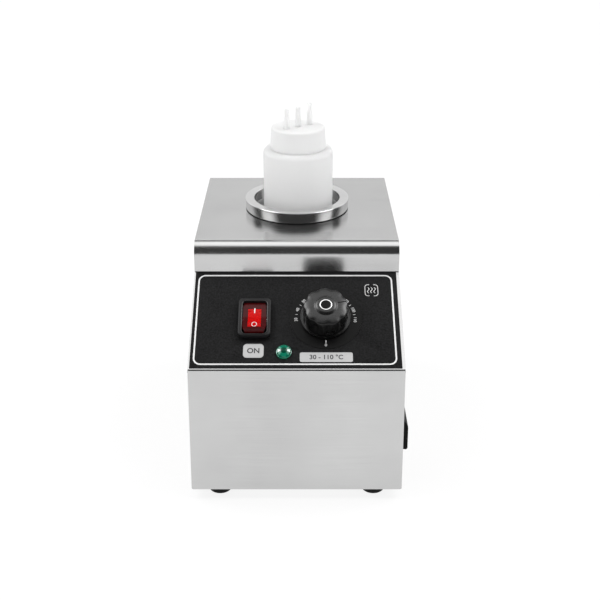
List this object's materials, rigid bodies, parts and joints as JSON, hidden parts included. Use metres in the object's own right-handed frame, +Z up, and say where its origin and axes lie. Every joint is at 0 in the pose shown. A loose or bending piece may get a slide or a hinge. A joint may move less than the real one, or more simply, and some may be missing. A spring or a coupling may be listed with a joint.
{
  "type": "chocolate melter",
  "caption": "Tabletop chocolate melter: steel box with sloped control panel, heated round well, squeeze bottle with three-nozzle screw cap, rocker switch, pilot lamp and dial.",
  "frame": {"origin": "on the standing surface, under the middle of the bounding box, inlet and rear screws included", "axes": "+Z up, +Y from the front face to the back, +X to the right seen from the front"},
  "size_m": [0.177, 0.261, 0.284],
  "materials": {
    "brushed_stainless": "fine straight brushing",
    "plain_steel": "rolled sheet, dull",
    "polished_stainless": "polished",
    "drawn_stainless": "drawn, satin",
    "zinc_steel": "zinc plated",
    "brass_metal": "bright",
    "copper_tube": "drawn copper",
    "printed_sheet": "fine texture, printed",
    "dial_sheet": "smooth, printed",
    "black_moulding": "fine spark texture",
    "badge_metal": "bright",
    "red_window": "lit translucent",
    "green_lens": "faceted translucent",
    "rubber_black": "dull",
    "mica_steel": "steel over mica",
    "fibre_blanket": "ceramic fibre",
    "phenolic_brown": "moulded",
    "white_nylon": "moulded",
    "milky_polythene": "translucent, satin",
    "silicone_seal": "soft"
  },
  "bodies": {
    "housing": {"back_panel": "plain_steel", "back_screws": "zinc_steel", "base_plate": "plain_steel", "body_shell": "brushed_stainless", "bulb_clip": "plain_steel", "capillary_tube": "copper_tube", "control_panel": "brushed_stainless", "cutout_nuts": "zinc_steel", "cutout_strap": "plain_steel", "cutout_studs": "zinc_steel", "dial_plate": "dial_sheet", "earth_nut": "brass_metal", "earth_stud": "brass_metal", "foot_nuts": "zinc_steel", "foot_screws": "zinc_steel", "front_left_foot": "rubber_black", "front_right_foot": "rubber_black", "heater_band": "mica_steel", "heater_clamp_screw": "zinc_steel", "inlet_housing": "black_moulding", "inlet_pins": "brass_metal", "inlet_screws": "zinc_steel", "insulation_blanket": "fibre_blanket", "lamp_barrel": "black_moulding", "lamp_lens": "green_lens", "lamp_nut_ring": "black_moulding", "panel_overlay": "printed_sheet", "rear_left_foot": "rubber_black", "rear_right_foot": "rubber_black", "ring_nuts": "zinc_steel", "ring_studs": "zinc_steel", "rocker_pin": "zinc_steel", "switch_housing": "black_moulding", "switch_terminals": "brass_metal", "terminal_block": "white_nylon", "terminal_screws": "zinc_steel", "thermal_cutout": "phenolic_brown", "thermostat_bulb": "copper_tube", "thermostat_case": "black_moulding", "thermostat_screws": "zinc_steel", "top_cover": "brushed_stainless", "well_pot": "drawn_stainless", "well_ring": "polished_stainless"},
    "bottle_body": {"bottle": "milky_polythene"},
    "seal_body": {"cap_seal": "silicone_seal"},
    "cap_body": {"bottle_cap": "milky_polythene"},
    "knob_body": {"knob": "black_moulding", "knob_badge": "badge_metal", "thermostat_shaft": "zinc_steel"},
    "rocker_body": {"switch_rocker": "red_window"}
  },
  "joints": [
    {"name": "bottle_lift", "type": "slide", "parent": "housing", "child": "bottle_body", "axis": [0, 0, 1], "range_m": [0, 0.17]},
    {"name": "cap_rise", "type": "slide", "parent": "bottle_body", "child": "seal_body", "axis": [0, 0, 1], "range_m": [0, 0.0135]},
    {"name": "cap_twist", "type": "hinge", "parent": "seal_body", "child": "cap_body", "pos_m": [-0.0025, 0.0428, 0.26], "axis": [0, 0, 1], "range_deg": [0, 1080]},
    {"name": "knob_turn", "type": "hinge", "parent": "housing", "child": "knob_body", "pos_m": [0.0197, -0.08867, 0.14112], "axis": [0, -0.515, 0.8572], "range_deg": [-30, 270]},
    {"name": "rocker_press", "type": "hinge", "parent": "housing", "child": "rocker_body", "pos_m": [-0.0372, -0.09098, 0.14031], "axis": [1, 0, 0], "range_deg": [0, 22]}
  ],
  "couplings": [
    {"joint": "cap_rise", "follows": "cap_twist", "m_per_rad": 0.0007162}
  ]
}
